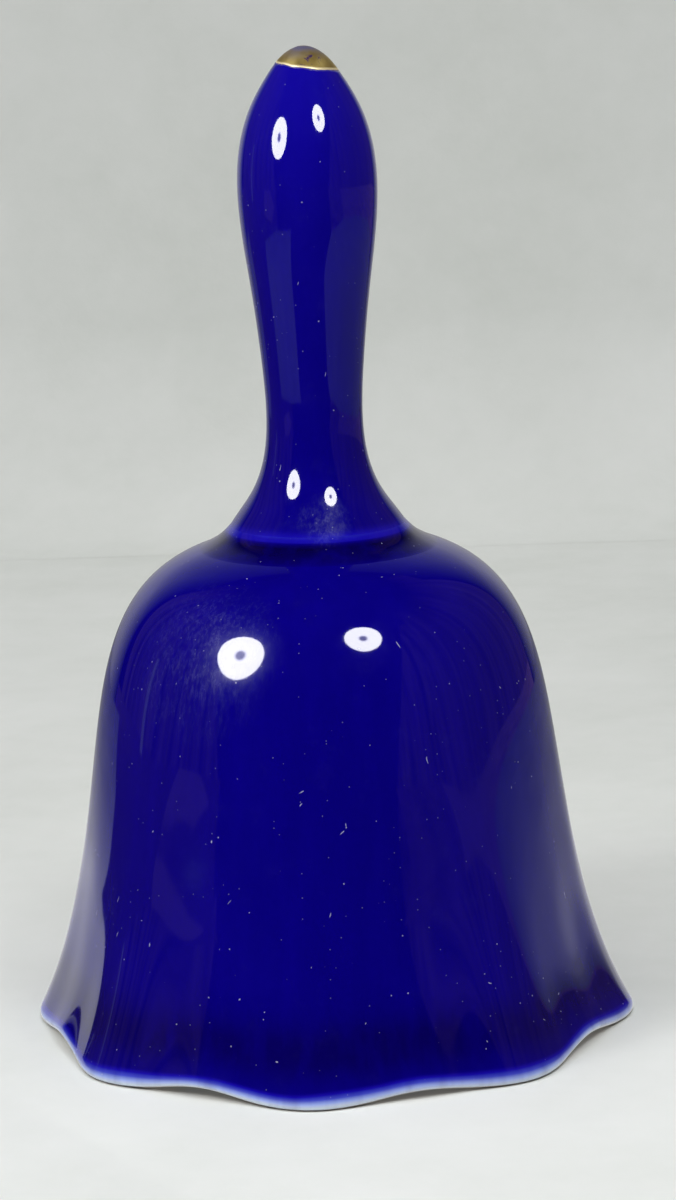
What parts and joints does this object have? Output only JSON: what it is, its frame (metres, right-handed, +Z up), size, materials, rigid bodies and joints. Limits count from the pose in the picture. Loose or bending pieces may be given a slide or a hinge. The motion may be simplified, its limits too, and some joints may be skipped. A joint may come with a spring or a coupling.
{
  "type": "hand bell",
  "caption": "Glazed porcelain hand bell with a scalloped flared skirt, a slim bulbous handle with a gilt tip, and a bead clapper that swings inside.",
  "frame": {"origin": "centre of the ring that the bell stands on, at the level of the table", "axes": "+Z up along the bell's axis, +X and +Y through the tips of two of the rim's eight lobes"},
  "size_m": [0.079, 0.079, 0.1275],
  "materials": {
    "cobalt_glaze": "deep cobalt-blue gloss glaze over white porcelain",
    "slip": "slip under pooled cobalt glaze",
    "gilt": "fired burnished gold, lightly rubbed",
    "plaster": "matt cast plaster",
    "brass_wire": "drawn wire, slightly tarnished",
    "bead_glaze": "white gloss glaze"
  },
  "bodies": {
    "bell": {"bell_dome": "cobalt_glaze", "handle": "cobalt_glaze", "slip_seam": "slip", "gilt_tip": "gilt", "hanger_plug": "plaster", "hanger_eye": "brass_wire"},
    "ring": {"hanger_ring": "brass_wire"},
    "clapper": {"clapper_wire": "brass_wire", "bead_washer": "brass_wire", "bead_collar": "brass_wire"},
    "bead": {"clapper_bead": "bead_glaze"}
  },
  "joints": [
    {"name": "clapper_swing", "type": "hinge", "parent": "bell", "child": "ring", "pos_m": [0, 0, 0.0555], "axis": [1, 0, 0], "range_deg": [-33.5, 33.5]},
    {"name": "clapper_sway", "type": "hinge", "parent": "ring", "child": "clapper", "pos_m": [0, 0, 0.0533], "axis": [0, 1, 0], "range_deg": [-7, 7]},
    {"name": "bead_spin", "type": "hinge", "parent": "clapper", "child": "bead", "pos_m": [0, 0, 0.015], "axis": [0, 0, 1], "continuous": true}
  ]
}
